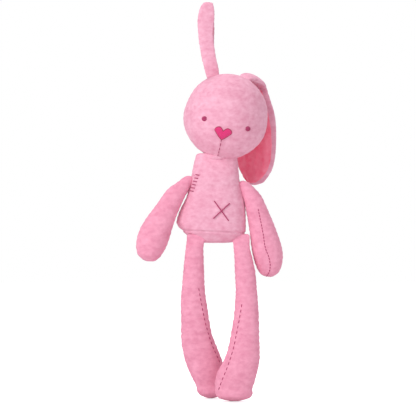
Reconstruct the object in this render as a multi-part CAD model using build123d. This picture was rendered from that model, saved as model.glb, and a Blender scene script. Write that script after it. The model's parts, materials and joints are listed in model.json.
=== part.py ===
from build123d import *
import math
import os

os.makedirs("parts", exist_ok=True)

# A long-limbed stuffed rabbit. Its face looks along -Y, +Z is up, and left and
# right in the names are the rabbit's own: its right side lies towards -X.
# All sizes are in millimetres and all angles in degrees.

# Cloth and clearances
cloth = 1.6                    # pile fabric with its backing
thread = 0.8                   # how far embroidery stands above the cloth
thread_width = 1.4
pad_gap = 0.3                  # between a skin and its filling
play = 0.5                     # between bodies that move against each other

# Head and neck
neck_x = 9.5
neck_z = 316
head_radius = 55.5
neck_sink = 1                  # how far the neck's centre lies inside the head's outline
head_rise = head_radius - neck_sink
head_roll = 12.5
neck_ball = 14
neck_seam_wire = 1.8
neck_drop = 7                  # from the neck's centre down to the top of the torso
roll = math.radians(head_roll)
head_centre = Vector(neck_x + head_rise * math.sin(roll), 0, neck_z + head_rise * math.cos(roll))

# Face embroidery: places from the middle of the head, along its own width and height
right_eye = (-25.7, -11.4)
left_eye = (31.4, -11.8)
eye_radius = 3.3
nose = (1.1, -25)
nose_lobe_radius = 5.6
nose_lobe_rise = 1.8
nose_tip_radius = 1.3
nose_tip_drop = 6.2
mouth = [(1.5, -33.3), (1.7, -50)]

# Hips: the legs' tops and the torso's base come from their height
hip_z = 211
hip_roll = 2.5
hip_length = 24
hip_yaw = 24
hip_gap = 0.2
right_hip = (-16.5, -16)
left_hip = (41, -12)
torso_base = hip_z + hip_roll + play
leg_top = hip_z - hip_roll - hip_gap

# Torso: height, centre x, half width and half depth of its rings
torso_top = neck_z - neck_drop
torso_rings = [
    (torso_base, 9, 37, 22),
    (222, 6, 42, 27),
    (236, 3.5, 44.5, 29.5),
    (260, 6.6, 38.6, 27),
    (torso_top - 26, 8, 32.5, 23),
    (torso_top - 8, 9.2, 27.5, 19),
    (torso_top, 9.5, 18, 13),
]
torso_yaw = 12
base_seam_z = 219
belly_cross = [(6.1, 258.7), (25.2, 233)], [(26.4, 255.3), (4.9, 236.3)]
ladder_bars = 5
ladder_start = (-14.5, 291)
ladder_step = (-1.6, -4.2)
ladder_ends = (-2, 0), (2.2, -0.6)

# Arms: distance from the shoulder, half width and half depth of their rings
shoulder_ball = 7.5
arm_rings = [
    (shoulder_ball + play, 8, 5),
    (18, 11.5, 9),
    (40, 14.4, 13),
    (72, 18.5, 16),
    (98, 19.5, 16.5),
    (113, 14.5, 12.5),
    (120, 8, 7),
]
arm_y = -4
right_side_x = -24.5           # just clear of the torso's sides at the shoulders
left_side_x = 41.3
right_arm_x = right_side_x - shoulder_ball
left_arm_x = left_side_x + shoulder_ball
arm_bow = 3.5                  # how far an arm's middle bends outwards
right_arm_z = torso_top - 23
left_arm_z = torso_top - 26
right_arm_out = 30
left_arm_out = 17.5
right_arm_forward = -12
left_arm_seam = [(63.4, 247), (69, 219), (73, 196), (77, 177)]

# Legs: height, centre x, centre y, half width and half depth of their rings
right_leg_seam = [(-13.3, 144), (-6, 104), (4, 70), (13, 50)]
left_leg_seam = [(41.7, 124), (35.2, 88), (27.5, 58), (15.6, 27)]
right_leg_rings = [
    (leg_top, -16.7, -15.8, 12.6, 2.4),
    (190, -19, -13, 12.4, 9),
    (167, -20.2, -8.5, 13.9, 11.8),
    (144, -20.8, -4, 15.5, 14),
    (114, -19.2, 2.6, 17.9, 15.2),
    (84, -16, 9, 20.5, 16),
    (54, -9, 16, 24.5, 17),
    (27, -1, 19, 21, 17),
    (8, 2, 20, 14.5, 14),
    (0, 2, 20, 10, 11),
]
left_leg_rings = [
    (leg_top, 41, -12, 12, 2.4),
    (190, 43.2, -13, 11.6, 9),
    (169, 46, -14, 13.2, 11.4),
    (130, 48.4, -16, 14.9, 14),
    (107, 48, -17.5, 16.6, 15.2),
    (84, 46.5, -19, 18.8, 16),
    (54, 42, -21, 23, 17),
    (27, 33, -22, 26, 17),
    (8, 32, -22, 20, 14),
    (0, 32, -22, 14, 11),
]

# Raised ear, folded back over itself
ear_cloth = 3.2
lining_cloth = 2.4
fold_air = 1
right_ear_x = 4.9
ear_ball = 4.5
raised_ear_top = 519
raised_ear_half_width = 11
raised_ear_root = 5
raised_ear_lean = -5.3
folded_length = 60
ear_spread = 24                # height over which it widens from its root
tip_taper = 3
tip_height = 8

# Drooping ear, bent over at its crease and hanging behind the head's side
crease_turn = 30
crease_roll = 2.8
crease_length = 15
crease_shift = -3
crease_out = 23.9              # from the middle of the head, along the ear's width
crease_fall = 11.7             # below the top of the head's outline
ear_rest = 0.1                 # between the lining and the back of the head
turn = math.radians(crease_turn)
outward = Vector(math.cos(turn), -math.sin(turn), 0)
facing = Vector(-math.sin(turn), -math.cos(turn), 0)
crease_back = head_radius + lining_cloth + ear_rest
crease_high = Vector(0, 0, head_radius - crease_fall)
crease = head_centre + outward * crease_out - facing * crease_back + crease_high
droop_outline = [
    (4.5, -3.5),
    (11, -18),
    (20, -58),
    (17, -100),
    (-8, -132.5),
    (-30, -115),
    (-33, -78),
    (-19, -28),
    (-10.5, -3.5),
]
ear_arch_from = Vector(0.431, 0.122, 0.895)    # direction from the middle of the head
ear_arch_stand = 1.8           # the strip's middle above the head's outline
ear_arch_lift = Vector(-3.5, -3.7, 9.3)
ear_arch_half_width = 8
ear_arch_start = head_centre + ear_arch_from * (head_radius + ear_arch_stand)
ear_arch_peak = (ear_arch_start + crease) * 0.5 + ear_arch_lift

# Sound module, its back opening and the flap over it
module_x = 6
module_y = 2
module_z = 250
module_radius = 23
module_front = 11
module_back = 9
case_wall = 1.6
fit_gap = 0.2
touch_gap = 0.05
board_back = 3.4
board_thickness = 1.6
board_radius = module_radius - case_wall - 3 * fit_gap
button_radius = 7.5
button_rise = 10.5
button_travel = 1.5
button_proud = 3
button_flange = 1.2
button_lip = 1.5
stem_radius = 1.5
spring_radius = button_radius - 1.6
spring_wire = 1
switch_width = 6
switch_height = 2
speaker_radius = 10
speaker_depth = 4
speaker_drop = 10.4
speaker_gap = 0.1
grille_hole = 0.8
grille_pitch = 3.2
wire_radius = 0.6
wire_spread = 4
cell_radius = 5.8
cell_thickness = 5.4
cell_pitch = 11.9
cell_shift = -3
cell_gap = 0.4
contact_radius = 3
contact_thickness = 0.4
door_width = 38
door_height = 14
door_thickness = 1.4
door_ledge = 1
screw_radius = 1.1
screw_length = 5
screw_inset = 2.6
pouch_cloth = 0.8
opening_margin = 1.5
opening_half = module_radius + opening_margin
flap_margin = 7
flap_cloth = 1.6
flap_top = 6
hook_strip = 0.8
loop_strip = 0.9
strip_height = 6


def save(shape, name):
    """Write one node, as one solid or as a group of separate solids."""
    solids = shape.solids()
    whole = solids[0] if len(solids) == 1 else Compound(children=list(solids))
    export_step(whole, f"parts/{name}.step")


def ring_loft(rings, grow=0.0):
    """Smooth form through level ellipses (z, x, y, half width, half depth)."""
    ordered = sorted(rings)
    faces = []
    for index, (z, x, y, half_width, half_depth) in enumerate(ordered):
        if index == 0:
            z -= grow
        if index == len(ordered) - 1:
            z += grow
        faces.append(Pos(x, y, z) * Ellipse(half_width + grow, half_depth + grow))
    return loft(faces)


def halves(shape, plane):
    """The two sides of a shape: towards the plane's normal, and away from it."""
    return split(shape, bisect_by=plane, keep=Keep.TOP), split(shape, bisect_by=plane, keep=Keep.BOTTOM)


def front_print(outline, reach, start=0.0):
    """An outline drawn in X and Z, pushed forwards along -Y."""
    return extrude(Plane((0, start, 0), x_dir=(1, 0, 0), z_dir=(0, -1, 0)) * outline, amount=reach)


def stroke(points, width):
    """A line of thread through points given in X and Z."""
    line = Spline(*points) if len(points) > 2 else Line(*points)
    return trace(line, line_width=width)


def front_stitches(form, points, plane, width=thread_width):
    """Raised thread that follows the front of a soft form."""
    raised = form(thread) - form(0)
    marked = raised & front_print(stroke(points, width), 120, 60)
    return halves(marked, plane)[0]


def make_torso():
    rings = [(z, x, 0, half_width, half_depth) for z, x, half_width, half_depth in torso_rings]

    def form(grow=0.0):
        return ring_loft(rings, grow)

    middle = Plane((module_x, 0, module_z), x_dir=(0, 0, 1), z_dir=Vector(0, -1, 0).rotate(Axis.Z, torso_yaw))
    seat = Pos(neck_x, 0, neck_z) * Sphere(neck_ball + play)
    skin = form() - form(-cloth) - seat
    upper = skin - Pos(0, 0, base_seam_z - 50) * Box(200, 200, 100)
    base = skin & Pos(0, 0, base_seam_z - 50) * Box(200, 200, 100)
    front, back = halves(upper, middle)
    window = Pos(module_x, 50, module_z) * Box(2 * opening_half, 100, 2 * opening_half)
    pocket_radius = module_radius + pouch_cloth + 2 * pad_gap
    pocket_front = module_y - module_front - button_proud - pouch_cloth - 2 * pad_gap
    pocket = Pos(module_x, pocket_front + 50, module_z) * Rot(90, 0, 0) * Cylinder(pocket_radius, 100)
    save(front, "torso_front_panel")
    save(back - window, "torso_back_panel")
    save(base, "torso_base_panel")
    save(form(-cloth - pad_gap) - seat - pocket, "torso_filling")
    cross = [front_stitches(form, line, Plane.XZ) for line in belly_cross]
    save(cross[0] + cross[1], "belly_cross_stitch")
    bars = []
    for step in range(ladder_bars):
        x = ladder_start[0] + ladder_step[0] * step
        z = ladder_start[1] + ladder_step[1] * step
        ends = [(x + dx, z + dz) for dx, dz in ladder_ends]
        bars.append(front_stitches(form, ends, Plane.XZ).solids()[0])
    save(Compound(children=bars), "shoulder_ladder_stitches")
    return form


def make_closure(form):
    """Flap over the back opening, with its hook strip, and the loop strip below."""
    low = module_z - opening_half - flap_margin
    high = module_z + opening_half + flap_top
    half = opening_half + flap_margin

    def layer(inner, outer, bottom, top, reach):
        block = Pos(module_x, 50, (bottom + top) / 2) * Box(2 * reach, 100, top - bottom)
        return (form(outer) - form(inner)) & block

    hook_start = loop_strip + pad_gap
    flap_start = hook_start + hook_strip
    save(layer(flap_start, flap_start + flap_cloth, low, high, half), "closure_flap")
    save(layer(hook_start, flap_start, low, low + strip_height, half), "closure_hook_strip")
    save(layer(0, loop_strip, low, low + strip_height, half), "closure_loop_strip")


def make_module():
    """Squeeze-to-play sound module: its axis lies along Y, its button faces the belly."""
    inner = module_radius - case_wall
    place = Pos(module_x, module_y, module_z)

    def disc(radius, start, stop, x=0, z=0):
        return Pos(x, (start + stop) / 2, z) * Rot(90, 0, 0) * Cylinder(radius, abs(stop - start))

    front = disc(module_radius, -module_front, 0) - disc(inner, -module_front + case_wall, 0)
    front -= disc(button_radius + fit_gap, -module_front, -module_front + case_wall, 0, button_rise)
    for row in range(-2, 3):
        for column in range(-2, 3):
            if abs(row) + abs(column) < 4:
                x = grille_pitch * column
                z = grille_pitch * row - speaker_drop
                front -= disc(grille_hole, -module_front, -module_front + case_wall, x, z)
    back = disc(module_radius, 0, module_back) - disc(inner, 0, module_back - case_wall)
    hatch = Pos(0, module_back - door_thickness / 2, 0) * Box(door_width, door_thickness, door_height)
    well = Pos(0, module_back / 2, 0)
    well = well * Box(door_width - 2 * door_ledge, module_back, door_height - 2 * door_ledge)
    back = back - hatch - well
    door = Pos(0, module_back - door_thickness / 2, 0)
    door = door * Box(door_width - 2 * fit_gap, door_thickness, door_height - 2 * fit_gap)
    bolt_x = door_width / 2 - screw_inset
    door -= disc(screw_radius + fit_gap, module_back - door_thickness, module_back, bolt_x, 0)
    bolt = disc(screw_radius, module_back - screw_length, module_back, bolt_x, 0)
    save(place * front, "module_front_case")
    save(place * back, "module_back_case")
    save(place * door, "battery_door")
    save(place * bolt, "door_screw")
    board_y = -board_back
    board = disc(board_radius, board_y, board_y + board_thickness)
    save(place * board, "circuit_board")
    switch = Box(switch_width, switch_height, switch_width)
    switch = Pos(0, board_y - switch_height / 2, button_rise) * switch
    save(place * switch, "tact_switch")
    wall_back = -module_front + case_wall
    flange_back = wall_back + button_flange
    button = disc(button_radius, -module_front - button_proud, flange_back, 0, button_rise)
    button += disc(button_radius + button_lip, wall_back + touch_gap, flange_back, 0, button_rise)
    stem_end = board_y - switch_height - button_travel - fit_gap
    button += disc(stem_radius, flange_back, stem_end, 0, button_rise)
    save(place * button, "sound_button")
    spring_start = flange_back + touch_gap
    spring_end = board_y - touch_gap
    coil = disc(spring_radius, spring_start, spring_end, 0, button_rise)
    coil -= disc(spring_radius - spring_wire, spring_start, spring_end, 0, button_rise)
    save(place * coil, "button_spring")
    speaker_start = wall_back + speaker_gap
    speaker = disc(speaker_radius, speaker_start, speaker_start + speaker_depth, 0, -speaker_drop)
    save(place * speaker, "speaker")
    wires = []
    for side in (-1, 1):
        x = wire_spread * side
        wires.append(place * disc(wire_radius, speaker_start + speaker_depth, board_y, x, -speaker_drop))
    save(Compound(children=[wire.solids()[0] for wire in wires]), "speaker_wires")
    cells = []
    contacts = []
    for step in (-1, 0, 1):
        x = cell_pitch * step + cell_shift
        cell_end = module_back - door_thickness - cell_gap
        cells.append((place * disc(cell_radius, cell_end - cell_thickness, cell_end, x, 0)).solids()[0])
        strap_end = cell_end - cell_thickness
        strap = disc(contact_radius, strap_end - contact_thickness, strap_end, x, 0)
        contacts.append((place * strap).solids()[0])
    save(Compound(children=cells), "button_cells")
    save(Compound(children=contacts), "battery_contacts")
    sleeve = module_radius + pad_gap
    nose = -module_front - button_proud - pad_gap
    pouch = disc(sleeve + pouch_cloth, nose - pouch_cloth, module_back) - disc(sleeve, nose, module_back)
    save(place * pouch, "module_pouch")


def make_head():
    place = Pos(neck_x, 0, neck_z) * Rot(0, head_roll, 0) * Pos(0, 0, head_rise)

    def form(grow=0.0):
        return place * Rot(0, 0, 40) * Sphere(head_radius + grow)

    socket_radius = neck_ball + 2 * play + 2 * neck_seam_wire + play
    socket = Pos(neck_x, 0, neck_z) * Sphere(socket_radius)
    middle = Plane((neck_x, 0, neck_z), x_dir=(0, 0, 1), z_dir=(0, -1, 0))
    front, back = halves(form() - form(-cloth) - socket, middle)
    save(front, "head_front_panel")
    save(back, "head_back_panel")
    save(form(-cloth - pad_gap) - socket, "head_filling")
    raised = form(thread) - form()

    def patch(outline, name):
        pressed = place * front_print(outline, 80)
        save(raised & pressed, name)

    patch(Pos(*right_eye) * Circle(eye_radius), "right_eye")
    patch(Pos(*left_eye) * Circle(eye_radius), "left_eye")
    patch(Pos(*nose) * (nose_lobe(-1) + nose_lobe(1)), "nose_patch")
    patch(stroke(mouth, thread_width), "mouth_stitches")
    save(Pos(neck_x, 0, neck_z) * Sphere(neck_ball), "neck_filling")
    seam = Torus(neck_ball + play + neck_seam_wire, neck_seam_wire)
    save(Pos(neck_x, 0, neck_z) * seam, "neck_seam")
    return form


def nose_lobe(side):
    lobe = Pos(side * nose_lobe_radius, nose_lobe_rise) * Circle(nose_lobe_radius)
    tip = Pos(0, -nose_tip_drop) * Circle(nose_tip_radius)
    return make_hull([*lobe.edges(), *tip.edges()])


def make_raised_ear():
    """Folded back over itself: cloth outside the fold and lining inside it."""
    start = head_top_at(right_ear_x)
    pivot = Pos(right_ear_x, 0, start + play + ear_ball)
    save(pivot * Sphere(ear_ball), "right_ear_gather")
    base = ear_ball + play
    height = raised_ear_top - (start + play + ear_ball)

    def band(inner, outer):
        top = height - (fold_air + lining_cloth + ear_cloth)
        back_end = top - folded_length
        rise = Pos(0, -(inner + outer) / 2, (base + top) / 2) * Box(60, outer - inner, top - base)
        fall = Pos(0, (inner + outer) / 2, (back_end + top) / 2) * Box(60, outer - inner, top - back_end)
        bend = Pos(0, 0, top) * Rot(0, 90, 0) * (Cylinder(outer, 60) - Cylinder(inner, 60))
        bend = bend & Pos(0, 0, top + 25) * Box(60, 60, 50)
        return rise + fall + bend

    shape = [
        (raised_ear_root, base - play),
        (raised_ear_half_width, base + ear_spread),
        (raised_ear_half_width, height - tip_height),
        (raised_ear_half_width - tip_taper, height + play),
    ]
    mirrored = [(-x, z) for x, z in reversed(shape)]
    face = make_face(Polyline(*shape, *mirrored, close=True))
    window = front_print(face, 60, 30)
    lean = pivot * Rot(0, raised_ear_lean, 0)
    inside = fold_air + lining_cloth
    save(lean * (band(inside, inside + ear_cloth) & window), "right_ear_outer")
    save(lean * (band(fold_air, inside) & window), "right_ear_lining")


def head_top_at(x):
    """Height of the top of the head above a given x."""
    return head_centre.Z + math.sqrt(head_radius ** 2 - (x - head_centre.X) ** 2)


def make_drooping_ear(head_form):
    hang = Plane(crease, x_dir=outward, z_dir=facing)
    edge = Spline(*droop_outline)
    face = make_face([edge, Line(droop_outline[-1], droop_outline[0])])
    save(extrude(hang * face, amount=lining_cloth), "left_ear_lining")
    save(extrude(hang * face, amount=-ear_cloth), "left_ear_outer")
    roll_line = hang * Pos(crease_shift, 0, 0) * Rot(0, 90, 0)
    roll = roll_line * Cylinder(crease_roll, crease_length)
    run = crease - ear_arch_start
    along = Vector(run.X, run.Y, 0).normalized()
    level = Plane(ear_arch_start, x_dir=along, z_dir=along.cross(Vector(0, 0, 1)))
    peak = level.to_local_coords(ear_arch_peak)
    end = level.to_local_coords(crease)
    arch = ThreePointArc((0, 0), (peak.X, peak.Y), (end.X, end.Y))
    strip = trace(arch, line_width=2 * crease_roll)
    bridge = extrude(level * strip, amount=ear_arch_half_width, both=True)
    save(bridge + roll - head_form(), "left_ear_root")


def make_arm(side, x, z, out, forward):
    """A stuffed arm that hangs from a soft ball of filling at the shoulder."""
    shoulder = Pos(x, arm_y, z)
    place = shoulder * Rot(0, out, 0) * Rot(forward, 0, 0)
    length = arm_rings[-1][0]
    outward = math.copysign(arm_bow, x)
    rings = []
    for reach, half_width, half_depth in arm_rings:
        rings.append((-reach, outward * math.sin(math.pi * reach / length), 0, half_width, half_depth))

    def form(grow=0.0):
        return place * ring_loft(rings, grow)

    middle = Plane(place * Pos(0, 0, -50) * Rot(90, 0, 0))
    front, back = halves(form() - form(-cloth), middle)
    save(front, f"{side}_arm_front_panel")
    save(back, f"{side}_arm_back_panel")
    save(form(-cloth - pad_gap), f"{side}_arm_filling")
    save(shoulder * Sphere(shoulder_ball), f"{side}_shoulder_filling")
    return form, middle


def make_leg(side, rings, hip, yaw, seam_points):
    """A stuffed leg, pinched flat at a seam roll along which it swings."""
    def form(grow=0.0):
        return ring_loft(rings, grow)

    top = rings[0]
    foot = rings[-3]
    down = Vector(0, foot[2] - top[2], foot[0] - top[0]).normalized()
    middle = Plane((0, top[2], top[0]), x_dir=(1, 0, 0), z_dir=down.cross(Vector(1, 0, 0)))
    if middle.z_dir.Y > 0:
        middle = Plane(middle.origin, x_dir=(1, 0, 0), z_dir=-middle.z_dir)
    front, back = halves(form() - form(-cloth), middle)
    save(front, f"{side}_leg_front_panel")
    save(back, f"{side}_leg_back_panel")
    save(form(-cloth - pad_gap), f"{side}_leg_filling")
    save(front_stitches(form, seam_points, middle), f"{side}_leg_stitches")
    roll = Pos(hip[0], hip[1], hip_z) * Rot(0, 0, yaw) * Rot(0, 90, 0) * Cylinder(hip_roll, hip_length)
    save(roll, f"{side}_hip_seam")


torso_form = make_torso()
make_closure(torso_form)
make_module()
head_form = make_head()
make_raised_ear()
make_drooping_ear(head_form)
make_arm("right", right_arm_x, right_arm_z, right_arm_out, right_arm_forward)
left_arm_form, left_arm_middle = make_arm("left", left_arm_x, left_arm_z, -left_arm_out, 0)
save(front_stitches(left_arm_form, left_arm_seam, left_arm_middle), "left_arm_stitches")
make_leg("right", right_leg_rings, right_hip, -hip_yaw, right_leg_seam)
make_leg("left", left_leg_rings, left_hip, hip_yaw, left_leg_seam)
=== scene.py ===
import json
import math
import bmesh
import bpy
import numpy as np
from mathutils import Matrix, Vector, noise
from mathutils.bvhtree import BVHTree


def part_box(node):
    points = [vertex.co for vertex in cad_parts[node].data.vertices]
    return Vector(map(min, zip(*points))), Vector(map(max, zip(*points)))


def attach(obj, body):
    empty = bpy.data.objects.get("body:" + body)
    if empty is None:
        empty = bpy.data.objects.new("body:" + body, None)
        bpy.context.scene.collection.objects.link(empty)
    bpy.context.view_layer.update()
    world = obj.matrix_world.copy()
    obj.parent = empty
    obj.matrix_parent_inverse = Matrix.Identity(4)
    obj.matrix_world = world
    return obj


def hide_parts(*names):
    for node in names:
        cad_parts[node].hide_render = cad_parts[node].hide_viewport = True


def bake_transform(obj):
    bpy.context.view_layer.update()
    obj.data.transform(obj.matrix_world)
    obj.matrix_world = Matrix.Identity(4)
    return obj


# A long-limbed plush rabbit. Its face looks along -Y, and left and right are the rabbit's own.
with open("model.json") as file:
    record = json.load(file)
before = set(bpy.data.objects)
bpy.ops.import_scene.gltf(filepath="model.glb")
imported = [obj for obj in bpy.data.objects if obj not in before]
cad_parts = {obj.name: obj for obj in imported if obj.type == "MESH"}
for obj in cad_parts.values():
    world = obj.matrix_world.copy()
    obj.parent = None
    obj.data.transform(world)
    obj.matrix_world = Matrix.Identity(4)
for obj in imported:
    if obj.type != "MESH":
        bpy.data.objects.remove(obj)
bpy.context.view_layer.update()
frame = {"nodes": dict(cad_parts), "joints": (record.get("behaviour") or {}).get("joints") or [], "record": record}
mm = 0.001
upright = Matrix.Identity(4)
sides = ("right", "left")
scene = bpy.context.scene
joints = {joint["name"]: joint for joint in frame["joints"]}
print("frame loaded")


def linked(name, data):
    obj = bpy.data.objects.new(name, data)
    scene.collection.objects.link(obj)
    return obj


def boxMiddle(node):
    low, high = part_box(node)
    return (low + high) / 2


def pivotOf(jointName):
    return Vector(joints[jointName]["pos_m"])


def linearOf(hexColour):
    channels = []
    for start in (1, 3, 5):
        value = int(hexColour[start:start + 2], 16) / 255
        channels.append(value / 12.92 if value <= 0.04045 else ((value + 0.055) / 1.055) ** 2.4)
    return (*channels, 1.0)


def addNode(tree, kind, settings=None, links=None):
    node = tree.nodes.new(kind)
    for key, value in (settings or {}).items():
        if key.startswith("in:"):
            name = key[3:]
            socket = node.inputs[int(name)] if name.isdigit() else node.inputs[name]
            socket.default_value = value
        else:
            setattr(node, key, value)
    for key, source in (links or {}).items():
        socket = node.inputs[int(key)] if key.isdigit() else node.inputs[key]
        tree.links.new(source, socket)
    return node


def setInputs(node, values):
    for name, value in values.items():
        node.inputs[name].default_value = value


def newMaterial(name):
    material = bpy.data.materials.new(name)
    material.use_nodes = True
    tree = material.node_tree
    shader = tree.nodes["Principled BSDF"]
    place = addNode(tree, "ShaderNodeTexCoord")
    return material, tree, shader, place.outputs["Object"]


# shared end of every material: stops are positions with colours, and depth is in millimetres
def dress(tree, shader, factor, stops, height, strength, depth):
    ramp = addNode(tree, "ShaderNodeValToRGB", links={"Fac": factor})
    for element, (position, colour) in zip(ramp.color_ramp.elements, stops):
        element.position = position
        element.color = colour
    bump = addNode(tree, "ShaderNodeBump", {"in:Strength": strength, "in:Distance": depth * mm}, {"Height": height})
    tree.links.new(ramp.outputs["Color"], shader.inputs["Base Color"])
    tree.links.new(bump.outputs["Normal"], shader.inputs["Normal"])


def clothMaterial(name, look):
    material, tree, shader, place = newMaterial(name)
    brushed = addNode(tree, "ShaderNodeMapping", {"in:Scale": (1, 1, look["streak"])}, {"Vector": place})
    nap = addNode(tree, "ShaderNodeTexNoise", {"in:Scale": 1 / (look["napSize"] * mm), "in:Detail": 3.0,
                                               "in:Roughness": 0.6}, {"Vector": brushed.outputs[0]})
    clump = addNode(tree, "ShaderNodeTexNoise", {"in:Scale": 1 / (look["clumpSize"] * mm), "in:Detail": 4.0,
                                                 "in:Roughness": 0.55}, {"Vector": brushed.outputs[0]})
    fibre = addNode(tree, "ShaderNodeTexNoise", {"in:Scale": 1 / (look["fibreSize"] * mm), "in:Detail": 2.0},
                    {"Vector": place})
    mixed = addNode(tree, "ShaderNodeMath", {"operation": "MULTIPLY_ADD", "in:1": 0.55},
                    {"0": nap.outputs["Fac"], "2": clump.outputs["Fac"]})
    setInputs(shader, {"Roughness": look["roughness"], "Sheen Weight": look["sheen"],
                       "Sheen Roughness": look["sheenRoughness"], "Sheen Tint": linearOf(look["sheenTint"]),
                       "Specular IOR Level": 0.15})
    height = addNode(tree, "ShaderNodeMath", {"operation": "MULTIPLY_ADD", "in:1": 0.5},
                     {"0": fibre.outputs["Fac"], "2": clump.outputs["Fac"]})
    stops = (0.55, linearOf(look["dark"])), (1.0, linearOf(look["light"]))
    dress(tree, shader, mixed.outputs[0], stops, height.outputs[0], look["bump"], look["pile"])
    return material


# Minky: knitted polyester with a short brushed pile, soft and matt, paler where it turns away; this copy is painted
# paler overall than the limbs' copy, a painted sheen of the pile
minkyLook = dict(dark="#DF96AF", light="#F0B6CB", sheenTint="#FFDDEB", sheen=0.22, sheenRoughness=0.4, streak=1.5,
                 roughness=0.95, napSize=30, clumpSize=7, fibreSize=1.0, bump=0.3, pile=0.6)
minkyPinkPaintedSheen = clothMaterial("minky_pile_pink_painted_sheen", minkyLook)
# The same cloth on the limbs, painted deeper in colour: a shaded copy of the pink without its painted sheen
limbShadedLook = {**minkyLook, "dark": "#E08EA9", "light": "#F1A6BF", "sheenTint": "#FFC8DC"}
minkyRosePaintedShade = clothMaterial("minky_pile_rose_painted_shade", limbShadedLook)
# Satin-backed lining: smoother than the pile, a warmer coral, with a soft gloss
liningLook = dict(dark="#F86C8A", light="#FF93AB", sheenTint="#FFC2CC", sheen=0.2, sheenRoughness=0.3, streak=1,
                  roughness=0.6, napSize=22, clumpSize=9, fibreSize=0.7, bump=0.2, pile=0.3)
liningCoral = clothMaterial("satin_lining_coral", liningLook)
# Loose polyester wadding: white, dull and uneven
whiteSheen = dict(streak=1, sheenTint="#FFFFFF", sheenRoughness=0.5)
waddingLook = dict(whiteSheen, dark="#E4E0DE", light="#FAF8F6", sheen=0.3, roughness=1.0,
                   napSize=9, clumpSize=2.2, fibreSize=0.7, bump=0.9, pile=1.2)
waddingWhite = clothMaterial("polyester_wadding", waddingLook)
# Plain cotton for the pouch: undyed, matt
cottonLook = dict(whiteSheen, dark="#D8CFC2", light="#E9E2D6", sheen=0.1, roughness=0.9,
                  napSize=12, clumpSize=1.2, fibreSize=0.6, bump=0.4, pile=0.25)
cottonCream = clothMaterial("cotton_calico", cottonLook)
# Nylon hook and loop tape: dyed to match, with a coarse dull face
tapeLook = dict(streak=1, dark="#DE8AA6", light="#EFA3BC", sheenTint="#FFE0EC", sheen=0.1, sheenRoughness=0.4,
                roughness=0.8, napSize=10, clumpSize=1.1, fibreSize=0.7, bump=1.0, pile=0.6)
tapePink = clothMaterial("nylon_hook_and_loop", tapeLook)


def threadMaterial(name, hexColour, paintedGrooveShade):
    material, tree, shader, place = newMaterial(name)
    ply = addNode(tree, "ShaderNodeTexWave", {"in:Scale": 1 / (2.2 * mm), "in:Distortion": 1.5,
                                              "in:Detail": 1.0, "bands_direction": "DIAGONAL"},
                  {"Vector": place})
    setInputs(shader, {"Roughness": 0.45, "Sheen Weight": 0.2})
    # the ply grooves get the darker colour and the ridges the thread's own colour: painted shade in the twist
    stops = (0.0, linearOf(paintedGrooveShade)), (1.0, linearOf(hexColour))
    dress(tree, shader, ply.outputs["Fac"], stops, ply.outputs["Fac"], 0.5, 0.15)
    return material


# Rayon embroidery thread: two-ply twist with a soft gloss, the grooves of the twist painted darker as painted shade
plumThread = threadMaterial("embroidery_thread_plum", "#B62C68", "#A02459")
magentaThread = threadMaterial("embroidery_thread_magenta", "#EA2F80", "#D42470")
crimsonThread = threadMaterial("embroidery_thread_crimson", "#B42157", "#981A48")
# Cotton seam thread, dyed near the pile, with the same painted shade in its twist grooves
seamThread = threadMaterial("seam_thread_pink", "#E07F9F", "#CF6C8E")


def plainMaterial(name, hexColour, roughness, metallic=0.0, grain=0.4):
    material, tree, shader, place = newMaterial(name)
    speck = addNode(tree, "ShaderNodeTexNoise", {"in:Scale": 1 / (grain * mm), "in:Detail": 3.0},
                    {"Vector": place})
    base = linearOf(hexColour)
    setInputs(shader, {"Roughness": roughness, "Metallic": metallic})
    stops = (0.3, (*(0.9 * c for c in base[:3]), 1.0)), (0.7, base)
    dress(tree, shader, speck.outputs["Fac"], stops, speck.outputs["Fac"], 0.3, 0.04)
    return material


partFinishes = {
    "case_plastic": plainMaterial("moulded_abs_white", "#E9E8E2", 0.45),
    "button_plastic": plainMaterial("moulded_abs_rose", "#DE5C7C", 0.35),
    "board": plainMaterial("glass_epoxy_green", "#1F6B3C", 0.35, grain=1.2),
    "speaker_plastic": plainMaterial("moulded_black_plastic", "#1C1C1F", 0.5),
    "steel": plainMaterial("nickel_plated_steel", "#C9C9C6", 0.3, metallic=1.0, grain=0.8),
    "wire_cover": plainMaterial("pvc_insulation_red", "#B3262B", 0.4),
    "plush": minkyPinkPaintedSheen,
    "ear_lining": liningCoral,
    "polyester_filling": waddingWhite,
    "plum_thread": plumThread,
    "nose_thread": magentaThread,
    "pouch_cloth": cottonCream,
    "hook_and_loop": tapePink,
}
for entry in frame["record"]["subparts"]:
    node = frame["nodes"][entry["node"]]
    node.data.materials.clear()
    node.data.materials.append(partFinishes[entry["material_slot"]])
print("materials made")


view = dict(width=0.541, middleX=-0.0016, middleZ=0.2496, distance=2.6, sensor=36.0)
cameraData = bpy.data.cameras.new("camera")
cameraData.sensor_width = view["sensor"]
cameraData.lens = view["sensor"] * view["distance"] / view["width"]
camera = linked("camera", cameraData)
camera.location = (view["middleX"], -view["distance"], view["middleZ"])
camera.rotation_euler = (math.pi / 2, 0, 0)
scene.camera = camera


def areaLight(name, place, size, power):
    data = bpy.data.lights.new(name, "AREA")
    data.size = size
    data.energy = power
    lamp = linked(name, data)
    lamp.location = place
    lamp.rotation_euler = (Vector((0, 0, 0.25)) - Vector(place)).to_track_quat("-Z", "Y").to_euler()


areaLight("key", (-1.15, -1.45, 1.3), 1.2, 25)
areaLight("fill", (1.5, -1.3, 0.6), 1.4, 4.5)
areaLight("top", (0.1, 0.5, 1.7), 1.0, 8)

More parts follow.
